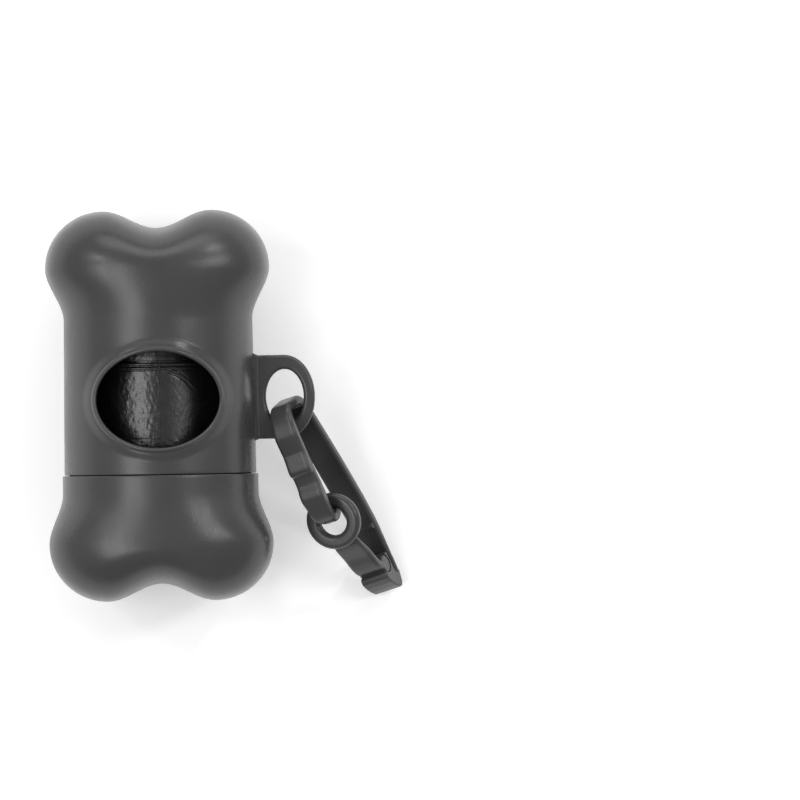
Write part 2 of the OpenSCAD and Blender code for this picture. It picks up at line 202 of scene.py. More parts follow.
@dataclass
class NodeBench:
    """Lays out the nodes of one material around its principled shader."""

    name: str
    material: bpy.types.Material = field(init=False)

    def __post_init__(self) -> None:
        """Makes the material with one shader and its output."""
        self.material = bpy.data.materials.new(self.name)
        self.material.use_nodes = True
        self.tree = self.material.node_tree
        self.shader = self.tree.nodes["Principled BSDF"]
        self.place = self.tree.nodes.new("ShaderNodeTexCoord").outputs["Object"]

    def set(self, **sockets: float | tuple[float, ...]) -> None:
        """Sets plain values on the shader, with _ for a space in a socket's name."""
        for key, value in sockets.items():
            self.shader.inputs[key.replace("_", " ")].default_value = value

    def stretched(self, scale: tuple[float, float, float], turn: float = 0.0) -> bpy.types.NodeSocket:
        """The place on the object, scaled for each axis and turned about Y by turn degrees."""
        node = self.tree.nodes.new("ShaderNodeMapping")
        node.inputs["Scale"].default_value = scale
        node.inputs["Rotation"].default_value = (0, math.radians(turn), 0)
        self.tree.links.new(self.place, node.inputs["Vector"])
        return node.outputs["Vector"]

    def noise(
        self, scale: float, detail: float = 3.0, rough: float = 0.55,
        place: bpy.types.NodeSocket | None = None,
    ) -> bpy.types.NodeSocket:
        """A noise pattern.

        Args:
            scale: Cells per metre.
            detail: Octaves.
            rough: Strength of the finer octaves.
            place: Coordinates, or the object's own if None.

        Returns:
            Its grey value.
        """
        node = self.tree.nodes.new("ShaderNodeTexNoise")
        node.inputs["Scale"].default_value = scale
        node.inputs["Detail"].default_value = detail
        node.inputs["Roughness"].default_value = rough
        self.tree.links.new(place or self.place, node.inputs["Vector"])
        return node.outputs["Fac"]

    def cells(self, scale: float, place: bpy.types.NodeSocket | None = None) -> bpy.types.NodeSocket:
        """Distance to the edges of a crackle of cells, for creases."""
        node = self.tree.nodes.new("ShaderNodeTexVoronoi")
        node.feature = "DISTANCE_TO_EDGE"
        node.inputs["Scale"].default_value = scale
        self.tree.links.new(place or self.place, node.inputs["Vector"])
        return node.outputs["Distance"]

    def spread(
        self, value: bpy.types.NodeSocket, low: float, high: float, lo_in: float = 0.3, hi_in: float = 0.7
    ) -> bpy.types.NodeSocket:
        """Maps a grey value onto a range, clamped.

        Args:
            value: The grey value.
            low: Result at lo_in.
            high: Result at hi_in.
            lo_in: Lower end of the value.
            hi_in: Upper end of the value.

        Returns:
            The mapped value.
        """
        node = self.tree.nodes.new("ShaderNodeMapRange")
        node.inputs["From Min"].default_value = lo_in
        node.inputs["From Max"].default_value = hi_in
        node.inputs["To Min"].default_value = low
        node.inputs["To Max"].default_value = high
        self.tree.links.new(value, node.inputs["Value"])
        return node.outputs["Result"]

    def math(
        self, kind: str, a: bpy.types.NodeSocket, b: bpy.types.NodeSocket | float
    ) -> bpy.types.NodeSocket:
        """One sum, product or other operation on two values."""
        node = self.tree.nodes.new("ShaderNodeMath")
        node.operation = kind
        self.tree.links.new(a, node.inputs[0])
        if isinstance(b, (int, float)):
            node.inputs[1].default_value = b
        else:
            self.tree.links.new(b, node.inputs[1])
        return node.outputs["Value"]

    def tint(
        self, value: bpy.types.NodeSocket, dark: tuple[float, ...], light: tuple[float, ...]
    ) -> bpy.types.NodeSocket:
        """A colour between dark and light by a value from 0 to 1."""
        node = self.tree.nodes.new("ShaderNodeMix")
        node.data_type = "RGBA"
        node.inputs["A"].default_value = (*dark, 1)
        node.inputs["B"].default_value = (*light, 1)
        for socket in node.inputs:
            if socket.name == "Factor" and socket.type == "VALUE":
                self.tree.links.new(value, socket)
                break
        return next(s for s in node.outputs if s.type == "RGBA")

    def link(self, value: bpy.types.NodeSocket, socket: str) -> None:
        """Feeds a value into one of the shader's sockets."""
        self.tree.links.new(value, self.shader.inputs[socket])

    def relief(self, layers: Sequence[tuple[bpy.types.NodeSocket, float]]) -> None:
        """Stacks bumps on the shader's normal.

        Args:
            layers: A height from 0 to 1 and the depth that it stands for in millimetres.
        """
        last = None
        for height, depth in layers:
            node = self.tree.nodes.new("ShaderNodeBump")
            node.inputs["Strength"].default_value = 1.0
            node.inputs["Distance"].default_value = depth * MM
            self.tree.links.new(height, node.inputs["Height"])
            if last is not None:
                self.tree.links.new(last, node.inputs["Normal"])
            last = node.outputs["Normal"]
        self.link(last, "Normal")


@dataclass(frozen=True)
class MouldedPlastic:
    """Satin grey plastic with a fine spark-eroded skin and a little handling wear."""

    name: str
    base: tuple[float, float, float] = (0.040, 0.040, 0.0415)
    worn: tuple[float, float, float] = (0.048, 0.048, 0.0495)
    smooth: float = 0.25
    rough: float = 0.33
    grain: float = 0.012

    def make(self) -> bpy.types.Material:
        """Builds the material."""
        bench = NodeBench(self.name)
        bench.set(IOR=1.46, Specular_IOR_Level=0.42)
        flow = bench.noise(55, 2, 0.5)
        skin = bench.noise(5200, 2, 0.5)
        scuff = bench.noise(420, 4, 0.65, bench.stretched((1, 0.35, 1), 20))
        bench.link(bench.tint(bench.spread(flow, 0, 1), self.base, self.worn), "Base Color")
        handled = bench.spread(scuff, -0.03, 0.04)
        shine = bench.math("ADD", bench.spread(flow, self.smooth, self.rough), handled)
        bench.link(shine, "Roughness")
        bench.relief([(flow, 0.03), (skin, self.grain), (scuff, 0.006)])
        return bench.material


@dataclass(frozen=True)
class BagFilm:
    """Thin glossy black film, crinkled all over where it was folded and wound."""

    name: str
    dark: tuple[float, float, float] = (0.004, 0.004, 0.0045)
    light: tuple[float, float, float] = (0.010, 0.010, 0.0105)
    crinkle: float = 0.03
    along: float = 0.45

    def make(self) -> bpy.types.Material:
        """Builds the material."""
        bench = NodeBench(self.name)
        bench.set(IOR=1.52, Specular_IOR_Level=0.6)
        drawn = bench.stretched((1.0, self.along, 1.0))
        soft = bench.noise(900, 4, 0.6, drawn)
        creases = bench.spread(bench.cells(520, drawn), 0, 1, 0.0, 0.12)
        fine = bench.noise(2600, 3, 0.6)
        haze = bench.noise(240, 2, 0.5)
        bench.link(bench.tint(bench.spread(haze, 0, 1), self.dark, self.light), "Base Color")
        bench.link(bench.spread(fine, 0.24, 0.36), "Roughness")
        bench.relief([(soft, self.crinkle), (creases, self.crinkle * 0.3), (fine, self.crinkle * 0.12)])
        return bench.material


@dataclass(frozen=True)
class Cardboard:
    """Uncoated brown board, wound on a slant."""

    name: str
    dark: tuple[float, float, float] = (0.30, 0.20, 0.12)
    light: tuple[float, float, float] = (0.47, 0.34, 0.22)

    def make(self) -> bpy.types.Material:
        """Builds the material."""
        bench = NodeBench(self.name)
        bench.set(Roughness=0.86, Specular_IOR_Level=0.3)
        fibre = bench.noise(900, 5, 0.7, bench.stretched((1, 4, 1)))
        fleck = bench.noise(2600, 2, 0.5)
        mixed = bench.math("ADD", bench.spread(fibre, 0, 0.8), bench.spread(fleck, 0, 0.25))
        bench.link(bench.tint(mixed, self.dark, self.light), "Base Color")
        bench.relief([(fibre, 0.05), (fleck, 0.02)])
        return bench.material


@dataclass(frozen=True)
class PaleFloor:
    """Plain white paper under the object."""

    name: str = "floor_paper"
    colour: tuple[float, float, float] = (0.87, 0.87, 0.87)
    glow: float = 0.25

    def make(self) -> bpy.types.Material:
        """Builds the material."""
        bench = NodeBench(self.name)
        bench.set(Roughness=0.9, Specular_IOR_Level=0.1)
        bench.set(Emission_Color=(1, 1, 1, 1), Emission_Strength=self.glow)
        tooth = bench.noise(900, 3, 0.6)
        lighter = tuple(min(1.0, c * 1.03) for c in self.colour)
        bench.link(bench.tint(tooth, self.colour, lighter), "Base Color")
        bench.relief([(tooth, 0.01)])
        return bench.material


@dataclass
class BoneForm:
    """The outer form that the case and the cap share, with its lengths counted from the cap's tip."""

    length: float = 83.0
    chamber: float = 17.6
    wall: float = 2.45
    draft: float = 0.35
    rim_step: float = 0.4
    end_wall: float = 3.4
    fillet: float = 2.5
    lobe_height: float = 12.2
    lobe_flare: float = 3.0
    lobe_spread: float = 11.4
    valley: float = 3.75
    neck: float = 11.0
    seam: float = 27.0

    def __post_init__(self) -> None:
        """Works out the sizes that follow from the others."""
        self.tube = self.chamber + self.wall
        self.seam_radius = self.tube + self.draft
        self.rim = self.seam_radius + self.rim_step
        self.axis = self.rim
        self.reach = self.rim + self.lobe_flare
        self.middle = self.length / 2
        self.case_widest = self.length - self.lobe_height
        self.neck_start = self.case_widest - self.neck
        self.chamber_floor = self.valley + self.end_wall
        self.chamber_top = self.length - self.chamber_floor

    def outline(self, x: float) -> float:
        """Height of an end over its widest section, x from the middle."""
        a = abs(x)
        if a < self.lobe_spread:
            return self.lobe_height - self.valley * (1 + math.cos(math.pi * a / self.lobe_spread)) / 2
        t = (a - self.lobe_spread) / (self.reach - self.lobe_spread)
        return self.lobe_height * math.sqrt(max(0.0, 1 - t * t))

    def soft_outline(self, x: float) -> float:
        """The outline, averaged over a short stretch so that no highlight breaks on it."""
        total = weight = 0.0
        for k in range(-3, 4):
            w = 1.0 if k == 0 else math.exp(-((k / 2) ** 2))
            total += w * self.outline(min(self.reach, abs(x) + k * 0.55 * (1 - (abs(x) / self.reach) ** 6)))
            weight += w
        return total / weight

    def dome_height(self, u: float) -> float:
        """What an oval dome is multiplied by to have the outline."""
        c = min(0.9995, abs(u))
        return self.soft_outline(c * self.reach) / math.sqrt(1 - c * c)

    def case_radius(self, at: float) -> float:
        """Radius of the drafted tube at a distance from the cap's tip."""
        return self.seam_radius - self.draft * (at - self.seam) / (self.neck_start - self.seam)

    def section(self, at: float, wide: float, deep: float, square: float) -> list[Point]:
        """One closed section of the bone.

        Args:
            at: Distance from the cap's tip.
            wide: Half width.
            deep: Half depth.
            square: 0 for an oval, 1 for the flat-sided section of the ends.

        Returns:
            Its points, from the right side over the top.
        """
        power = 2 / (1 - square / 3)
        made = []
        for i in range(AROUND):
            t = 2 * math.pi * i / AROUND
            c, s = math.cos(t), math.sin(t)
            x = math.copysign(math.sqrt(max(0.0, 1 - abs(s) ** power)), c)
            made.append((wide * x, at - self.middle, self.axis + deep * s))
        return made

    def dome_ring(self, at: float, direction: int, angle: float) -> list[Point]:
        """One ring of an end's dome, at an angle from its pole."""
        sa, ca = math.sin(math.radians(angle)), math.cos(math.radians(angle))
        made = []
        for i in range(AROUND):
            t = 2 * math.pi * i / AROUND
            c, s = math.cos(t), math.sin(t)
            u = math.copysign(sa * math.sqrt(max(0.0, 1 - abs(s) ** 3)), c)
            z = sa ** (2 / 3) * s
            y = at - self.middle + direction * self.dome_height(u) * ca
            made.append((self.reach * u, y, self.axis + self.rim * z))
        return made

    def pole(self, at: float, direction: int) -> Point:
        """The valley's lowest point, on the axis."""
        return (0.0, at - self.middle + direction * self.dome_height(0), self.axis)

    def round_ring(self, at: float, radius: float) -> list[Point]:
        """A true circle on the axis."""
        return self.section(at, radius, radius, 0)

    def dome_angles(self) -> list[float]:
        """Angles of the dome's rings from the widest section to near its pole, closer at the end."""
        return [*range(86, 17, -4), 14.5, 11, 8, 5.5, 3.5, 2, 1, 0.4]

    def chamber_end(self, end: float, direction: int) -> list[tuple[float, float]]:
        """Places and radii of the chamber's rounded corner and flat end."""
        made = []
        for a in steps(0, 90, 8):
            r = self.chamber - self.fillet + self.fillet * math.cos(math.radians(a))
            made.append((end - direction * self.fillet * (1 - math.sin(math.radians(a))), r))
        return made + [(end, r) for r in (11.0, 6.0, 1.0)]


@dataclass
class Window:
    """The oval window with its raised lip, set in a box of the tube's surface.

    The box reaches side degrees to each side and from below to above the window's middle. Its border
    is shared out to the oval by an angle on a wider oval of half sizes fan_width and fan_height, in
    layers that lie closer together near the lip where crowding is over 1.
    """

    bone: BoneForm
    width: float = 26.1
    height: float = 20.4
    place: float = 42.8
    side: float = 66.0
    below: float = 14.2
    above: float = 16.4
    layers: int = 9
    crowding: float = 1.25
    fan_height: float = 13.6
    fan_width: float = 17.5

    # How far out from the hole's edge, and how high over the tube.
    lip: tuple[tuple[float, float], ...] = (
        (0.0, 0.0), (0.0, 0.45), (0.03, 0.62), (0.1, 0.77), (0.2, 0.89), (0.34, 0.97), (0.5, 1.0),
        (0.66, 0.97), (0.8, 0.89), (0.9, 0.78), (0.98, 0.66), (1.06, 0.59), (1.18, 0.56), (1.4, 0.52),
        (1.7, 0.43), (2.05, 0.29), (2.4, 0.15), (2.7, 0.06), (2.9, 0.015), (3.1, 0.0),
    )

    def oval(self, turn: float, grow: float) -> tuple[float, float]:
        """A point grown outward along the oval's own normal, from the bone's middle."""
        c, s = math.cos(turn), math.sin(turn)
        nx, ny = self.height * c, self.width * s
        n = math.hypot(nx, ny)
        return (
            self.width / 2 * c + grow * nx / n,
            self.height / 2 * s + grow * ny / n + self.place - self.bone.middle,
        )

    def on_tube(self, x: float, y: float, radius: Callable[[float], float], level: float = 0.0) -> Point:
        """The point over (x, y) on a tube of that radius, raised by level."""
        r = radius(y + self.bone.middle) + level
        return (x, y, self.bone.axis + math.sqrt(max(0.0, r * r - x * x)))

    def patch(
        self, draft: MeshDraft, rows: Sequence[float], rings: Sequence[Ring],
        radius: Callable[[float], float], profile: Sequence[tuple[float, float]],
    ) -> Ring:
        """Fills the window's part of a tube with rings that run from a box to the oval.

        Args:
            draft: The mesh, which already has the rings round the tube.
            rows: The rings' distances from the cap's tip.
            rings: The rings, of which the top part is left open here.
            radius: Radius of the tube at a distance from the cap's tip.
            profile: Steps out from the oval and up from the tube, from the hole outward.

        Returns:
            The innermost ring, at the hole.
        """
        half = round(self.side / 360 * AROUND)
        left, right = AROUND // 4 + half, AROUND // 4 - half
        first = [i for i, s in enumerate(rows) if s >= self.place - self.below][0]
        last = [i for i, s in enumerate(rows) if s <= self.place + self.above][-1]
        edge = [(i, right) for i in range(first, last)] + [(last, k) for k in range(right, left)]
        edge += [(i, left) for i in range(last, first, -1)] + [(first, k) for k in range(left, right, -1)]
        self.opening = (first, last, right, left)
        border = [rings[i][k] for i, k in edge]
        turns, outer = [], []
        centre = self.place - self.bone.middle
        for i, k in edge:
            t = 360 * k / AROUND
            arc = radius(rows[i]) * math.radians(90 - t)
            y = rows[i] - self.bone.middle
            turns.append(math.atan2((y - centre) / self.fan_height, arc / self.fan_width))
            outer.append((t, y))
        grow = profile[-1][0]
        seen = [border]
        for layer in range(1, self.layers):
            share = 1 - (1 - layer / self.layers) ** self.crowding
            row = []
            for turn, (t, y) in zip(turns, outer):
                qx, qy = self.oval(turn, grow)
                r = radius(qy + self.bone.middle)
                qt = 90 - math.degrees(math.asin(qx / r))
                at_t, at_y = blend(t, qt, share), blend(y, qy, share)
                r = radius(at_y + self.bone.middle)
                a = math.radians(at_t)
                row.append((r * math.cos(a), at_y, self.bone.axis + r * math.sin(a)))
            seen.append(draft.ring(row))
        for out, up in reversed(profile):
            seen.append(draft.ring([self.on_tube(*self.oval(t, out), radius, up) for t in turns]))
        draft.loft(seen)
        return seen[-1]

    def tube(self, draft: MeshDraft, rings: Sequence[Ring]) -> None:
        """Bridges rings along the tube, leaving out the faces inside the window's box."""
        first, last, right, left = self.opening
        for i, (a, b) in enumerate(zip(rings, rings[1:])):
            for k in range(AROUND):
                m = (k + 1) % AROUND
                if first <= i < last and right <= k < left:
                    continue
                draft.faces.append((a[k], a[m], b[m], b[k]))


@dataclass
class Eyelet:
    """The plate with an oval hole at the tube's right side."""

    bone: BoneForm
    place: float = 43.0
    hole_width: float = 8.0
    hole_height: float = 11.7
    bridge: float = 2.65
    side_wall: float = 2.4
    end_wall: float = 3.05
    thick: float = 2.9
    fillet: float = 1.2
    edge: float = 0.8
    sunk_root: float = 0.6
    flare: float = 0.55
    flare_length: float = 1.5
    count: int = 200

    @property
    def middle(self) -> float:
        """Distance of the hole's middle from the bone's axis."""
        return self.bone.tube + self.bridge + self.hole_width / 2

    def outer(self, turn: float) -> tuple[float, float]:
        """The plate's outline: half an oval outside, straight towards the tube, flared at its foot."""
        half = self.hole_height / 2 + self.end_wall
        reach = self.hole_width / 2 + self.side_wall
        root = self.middle - (self.bone.tube - self.bone.wall * self.sunk_root)
        c, s = math.cos(turn), math.sin(turn)
        if c >= 0:
            return reach * c, half * s
        straight = min(root / max(0.001, abs(c)), half / max(0.001, abs(s)))
        x, y = straight * c, straight * s
        long = self.flare_length
        near = min(1.0, max(0.0, (self.bone.tube + long - self.middle - x) / long))
        if abs(y) > half - 0.01:
            y += math.copysign(self.flare * near * near, y)
        return x, y

    def half_thick(self, x: float) -> float:
        """Half the plate's thickness, which grows in a fillet at the tube."""
        near = min(1.0, max(0.0, (self.bone.tube + self.fillet - x) / self.fillet))
        return self.thick / 2 + self.fillet * 0.8 * near * near

    def ring(self, draft: MeshDraft, inset: float, share: float, sunk: float, side: int) -> Ring:
        """One ring of the plate.

        Args:
            draft: The mesh.
            inset: Breadth that is left out at the hole's edge and at the outer edge.
            share: 0 on the hole's side of what is left between, 1 on the outer side.
            sunk: How far it lies under the plate's face.
            side: 1 on top, -1 below.

        Returns:
            The ring.
        """
        made = []
        for i in range(self.count):
            turn = 2 * math.pi * i / self.count
            a = (self.hole_width / 2 * math.cos(turn), self.hole_height / 2 * math.sin(turn))
            b = self.outer(turn)
            breadth = math.hypot(b[0] - a[0], b[1] - a[1])
            out = blend(inset, breadth - inset, share) / breadth
            x, y = blend(a[0], b[0], out), blend(a[1], b[1], out)
            z = side * (self.half_thick(self.middle + x) - sunk)
            made.append((self.middle + x, y + self.place - self.bone.middle, self.bone.axis + z))
        return draft.ring(made)

    def face(self, draft: MeshDraft, side: int) -> list[Ring]:
        """One face of the plate, from the hole's edge to the outer edge.

        Args:
            draft: The mesh.
            side: 1 on top, -1 below.

        Returns:
            Its rings.
        """
        r = self.edge
        angles = [math.radians(a) for a in steps(0, 90, 7)]
        rounded = [(r * (1 - math.cos(a)), r * (1 - math.sin(a))) for a in angles]
        places = [(inset, 0.0, sunk) for inset, sunk in rounded]
        places += [(r, share, 0.0) for share in steps(0, 1, 16)[1:-1]]
        places += [(inset, 1.0, sunk) for inset, sunk in reversed(rounded)]
        return [self.ring(draft, inset, share, sunk, side) for inset, share, sunk in places]

    def add(self, draft: MeshDraft) -> None:
        """Adds the plate to the case's mesh."""
        rings = self.face(draft, 1) + self.face(draft, -1)[::-1]
        draft.loft(rings + [rings[0]])


@dataclass
class Case:
    """The upper moulding: tube, lobed end, window, eyelet and the collar that plugs into the cap."""

    bone: BoneForm
    finish: bpy.types.Material
    collar: float = 7.0
    collar_wall: float = 1.6
    clearance: float = 0.25
    bead_clearance: float = 0.05
    edge_round: float = 0.2

    def outer_rows(self) -> list[tuple[float, float]]:
        """Distances from the cap's tip and radii of the plain tube's rings, from its seam edge up."""
        b = self.bone
        rows = []
        for a in (90, 67, 45, 22, 0):
            s = b.seam + self.edge_round * (1 - math.sin(math.radians(a)))
            rows.append((s, b.case_radius(s) - self.edge_round * (1 - math.cos(math.radians(a)))))
        return rows + [(s, b.case_radius(s)) for s in steps(b.seam + 0.75, b.neck_start, 62)]

    def build(self) -> bpy.types.Object:
        """Builds the moulding as one piece."""
        b, draft = self.bone, MeshDraft()
        window = Window(b)
        rows = self.outer_rows()
        tube = [draft.ring(b.round_ring(s, r)) for s, r in rows]
        hole = window.patch(draft, [s for s, _ in rows], tube, b.case_radius, window.lip)
        window.tube(draft, tube)
        upper = [tube[-1]]
        for t in steps(0, 1, 22)[1:]:
            e = ease(t)
            wide, deep = blend(b.tube, b.reach, e), blend(b.tube, b.rim, e)
            upper.append(draft.ring(b.section(b.neck_start + b.neck * t, wide, deep, e)))
        upper += [draft.ring(b.dome_ring(b.case_widest, 1, a)) for a in b.dome_angles()]
        draft.loft(upper)
        draft.fan(upper[-1], b.pole(b.case_widest, 1))

        foot = b.seam - self.collar
        inner_rows = [foot + 0.4] + steps(foot + 1.2, b.chamber_top - b.fillet, 90)
        inside = [draft.ring(b.round_ring(s, b.chamber)) for s in inner_rows]
        inner_hole = window.patch(draft, inner_rows, inside, lambda s: b.chamber, ((0.0, 0.0),))
        window.tube(draft, inside)
        self.join_holes(draft, window, hole, inner_hole)
        corner = b.chamber_end(b.chamber_top, 1)[1:]
        end = [inside[-1]] + [draft.ring(b.round_ring(s, r)) for s, r in corner]
        draft.loft(end)
        draft.fan(end[-1], (0, b.chamber_top - b.middle, b.axis))

        skin = b.chamber + self.collar_wall
        bead = skin + self.clearance - self.bead_clearance
        profile = [(foot, b.chamber + 0.35), (foot, skin - 0.5), (foot + 0.15, skin - 0.15)]
        profile += [(foot + up, skin) for up in (0.5, 0.7, 0.98)]
        for t in steps(-1, 1, 10):
            profile.append((foot + 1.8 + t * 0.8, blend(skin, bead, (1 + math.cos(math.pi * t)) / 2)))
        profile += [(foot + 3.2, skin), (b.seam - 0.15, skin), (b.seam, skin + 0.15)]
        profile.append((b.seam, rows[0][1] - 0.3))
        collar = [inside[0]] + [draft.ring(b.round_ring(s, r)) for s, r in profile] + [tube[0]]
        draft.loft(collar)
        Eyelet(b).add(draft)
        piece = draft.build("case_moulding")
        settle(piece, Body.CASE, Slot.CASE_PLASTIC, self.finish, "upper_case")
        return piece

    def join_holes(self, draft: MeshDraft, window: Window, outer: Ring, inner: Ring) -> None:
        """Closes the wall of the window between the two skins, whose rings start at the same side.

        The rings differ in length, so each point of the longer one meets the nearest turn of the other.
        """
        centre = window.place - self.bone.middle

        def turn_of(n: int) -> float:
            """Angle of a point round the window's middle."""
            x, y, _ = draft.points[n]
            return math.atan2((y - centre) / window.height, x / window.width)

        a = sorted(outer, key=turn_of)
        c = sorted(inner, key=turn_of)
        i = k = 0
        while i < len(a) or k < len(c):
            ahead = turn_of(a[i % len(a)]) + (2 * math.pi if i >= len(a) else 0)
            other = turn_of(c[k % len(c)]) + (2 * math.pi if k >= len(c) else 0)
            take_outer = k >= len(c) or (i < len(a) and ahead <= other)
            if take_outer:
                draft.faces.append((a[i % len(a)], a[(i + 1) % len(a)], c[k % len(c)]))
                i += 1
            else:
                draft.faces.append((c[k % len(c)], a[i % len(a)], c[(k + 1) % len(c)]))
                k += 1


@dataclass
class Cap:
    """The pull-off lobed cap."""

    bone: BoneForm
    finish: bpy.types.Material
    gap: float = 0.15
    edge_round: float = 0.22
    socket: float = 19.45
    socket_floor: float = 19.75

    def build(self) -> bpy.types.Object:
        """Builds the cap as one piece."""
        b, draft = self.bone, MeshDraft()
        rings = [draft.ring(b.dome_ring(b.lobe_height, -1, a)) for a in reversed(b.dome_angles())]
        draft.fan(rings[0], b.pole(b.lobe_height, -1))
        for t in steps(1, 0, 24):
            e = ease(t)
            wide = b.rim + b.lobe_flare * e
            rings.append(draft.ring(b.section(b.lobe_height + b.neck * (1 - t), wide, b.rim, e)))
        lip, r = b.seam - self.gap, self.edge_round
        top = b.lobe_height + b.neck
        rings += [draft.ring(b.round_ring(s, b.rim)) for s in steps(top, lip - r, 6)[1:]]
        for a in (22, 45, 67, 90):
            s, c = math.sin(math.radians(a)), math.cos(math.radians(a))
            rings.append(draft.ring(b.round_ring(lip - r * (1 - s), b.rim - r * (1 - c))))
        inside = [(lip, self.socket + 0.25), (lip - 0.25, self.socket), (lip - 2.6, self.socket)]
        inside += [(s, self.socket) for s in (22.5, 20.4, self.socket_floor)]
        inside += [(self.socket_floor, b.chamber + 0.3), (self.socket_floor - 0.3, b.chamber)]
        inside += [(s, b.chamber) for s in steps(18.5, b.chamber_floor + b.fillet, 8)]
        inside += b.chamber_end(b.chamber_floor, -1)[1:]
        rings += [draft.ring(b.round_ring(s, r)) for s, r in inside]
        draft.loft(rings)
        draft.fan(rings[-1], (0, b.chamber_floor - b.middle, b.axis))
        piece = draft.build("cap_moulding")
        settle(piece, Body.CAP, Slot.CASE_PLASTIC, self.finish, "lower_cap")
        return piece


@dataclass
class RollForm:
    """The wound bags: where they lie and how far out they reach."""

    bone: BoneForm
    start: float = 8.5
    length: float = 57.0
    radius: float = 14.6
    core: float = 7.5
    core_wall: float = 1.2
    drop: float = 2.25
    band_middle: float = 41.9
    band_width: float = 17.4

    @property
    def height(self) -> float:
        """Height of the roll's axis over the table."""
        return self.bone.axis - self.drop

    def at(self, turn: float, along: float, radius: float) -> Point:
        """A point by its angle in degrees from the right, its place along the bone and its radius."""
        a = math.radians(turn)
        return (radius * math.cos(a), along, self.height + radius * math.sin(a))


@dataclass
class Core:
    """The cardboard tube in the roll."""

    form: RollForm
    finish: bpy.types.Material
    count: int = 144
    winding: float = 26.0

    def build(self) -> bpy.types.Object:
        """Builds the tube with soft cut ends and the step of its slanted winding."""
        f, draft = self.form, MeshDraft()
        low = f.start - f.bone.middle
        high = low + f.length
        outer, inner = f.core, f.core - f.core_wall
        places = steps(low + 0.25, high - 0.25, 110)
        profile = [(low + 0.08, outer - 0.22)] + [(y, outer) for y in places]
        profile.append((high - 0.08, outer - 0.22))
        profile += [(high, outer - 0.5), (high, inner + 0.4), (high - 0.1, inner + 0.1)]
        profile += [(y, inner) for y in reversed(places)] + [(low + 0.1, inner + 0.1)]
        profile += [(low, inner + 0.4), (low, outer - 0.5)]
        rings = []
        for y, r in profile:
            row = []
            at_end = abs(y - (low + high) / 2) > f.length / 2 - 0.3
            for i in range(self.count):
                turn = 360 * i / self.count
                a = math.radians(turn)
                slant = ((y / self.winding) * 360 + turn) % 360 / 360
                groove = 0.06 * math.exp(-((min(slant, 1 - slant) * self.winding) ** 2) / 0.5)
                torn = 0.05 * noise.noise(Vector((math.cos(a) * 4, y * 0.2, math.sin(a) * 4)))
                row.append(f.at(turn, y + torn * at_end, r - groove))
            rings.append(draft.ring(row))
        draft.loft(rings + [rings[0]])
        piece = draft.build("roll_core", 50)
        settle(piece, Body.ROLL, Slot.CORE_CARDBOARD, self.finish, "bag_core")
        return piece


@dataclass
class WoundBags:
    """The film of all the bags, wound on the core, with the edges of its turns showing at both ends."""

    form: RollForm
    finish: bpy.types.Material
    around: int = 420
    turns: int = 24
    sunk: float = 0.45
    shoulder: float = 0.35

    def surface(self, turn: float, along: float) -> float:
        """Radius of the outermost turn, with its slack folds and the step at its band's edges."""
        f = self.form
        a = math.radians(turn)
        ring = Vector((math.cos(a), math.sin(a), 0))
        long_folds = noise.fractal(Vector((ring.x * 3.2, ring.y * 3.2, along * 0.05)), 0.8, 2.0, 3)
        crumple = noise.fractal(Vector((ring.x * 15, ring.y * 15, along * 0.55)), 0.9, 2.1, 4)
        ripple = noise.noise(Vector((ring.x * 2.4, ring.y * 2.4, along * 1.3 + 7)))
        r = f.radius - 0.17 + 0.06 * long_folds + 0.05 * crumple + 0.035 * ripple
        band = f.band_middle - f.bone.middle
        if abs(along - band) < f.band_width / 2 + self.sunk:
            r = min(r, f.radius - 0.2) - self.sunk
        return min(r, f.radius)

    def build(self) -> bpy.types.Object:
        """Builds the roll as one closed piece."""
        f, draft = self.form, MeshDraft()
        low = f.start + 0.3 - f.bone.middle
        high = low + f.length - 0.6
        band = f.band_middle - f.bone.middle
        bare = f.band_width / 2 + 0.5
        places = steps(low + 0.6, band - bare, 60)
        places += steps(band - bare + 0.1, band + bare - 0.1, 30)
        places += steps(band + bare, high - 0.6, 60)
        around, rings = steps(0, 360, self.around)[:-1], []
        for y in places:
            rings.append(draft.ring([f.at(t, y, self.surface(t, y)) for t in around]))
        top = self.end_face(draft, high, 1)
        bottom = self.end_face(draft, low, -1)
        draft.loft(list(reversed(bottom)) + rings + top)
        draft.bridge(top[-1], bottom[-1])
        piece = draft.build("roll_film", 70)
        settle(piece, Body.ROLL, Slot.BAG_FILM, self.finish, "bag_roll")
        return piece

    def end_face(self, draft: MeshDraft, end: float, side: int) -> list[Ring]:
        """The end of the roll, from its rim to the core: the edges of its turns stand out unevenly.

        Args:
            draft: The mesh.
            end: Place of the end along the bone.
            side: 1 at the upper end, -1 at the lower.

        Returns:
            Its rings, from outside to inside.
        """
        f, made = self.form, []
        inner = f.core + 0.06
        span = f.radius - self.shoulder - inner
        for k in range(self.turns * 3 + 1):
            share = k / (self.turns * 3)
            row = []
            for t in steps(0, 360, self.around)[:-1]:
                spiral = share * self.turns + t / 360
                layer, phase = divmod(spiral, 1.0)
                a = math.radians(t)
                ridge = 0.5 - 0.5 * math.cos(2 * math.pi * phase)
                uneven = noise.noise(Vector((math.cos(a) * 2 + layer * 3.7, math.sin(a) * 2, side * 5.0)))
                fold = noise.noise(Vector((math.cos(a) * 9 + layer, math.sin(a) * 9, side * 2.0)))
                depth = 0.12 + 0.2 * (1 - ridge) + 0.16 * (0.5 + 0.5 * uneven) + 0.07 * fold
                if k == 0:
                    depth = self.shoulder
                wave = 0.05 * fold * min(1.0, share * 6) * min(1.0, (1 - share) * 6)
                r = f.radius - self.shoulder - span * share + wave
                row.append(f.at(t, end - side * max(0.0, depth), max(inner, r)))
            made.append(draft.ring(row))
        return made


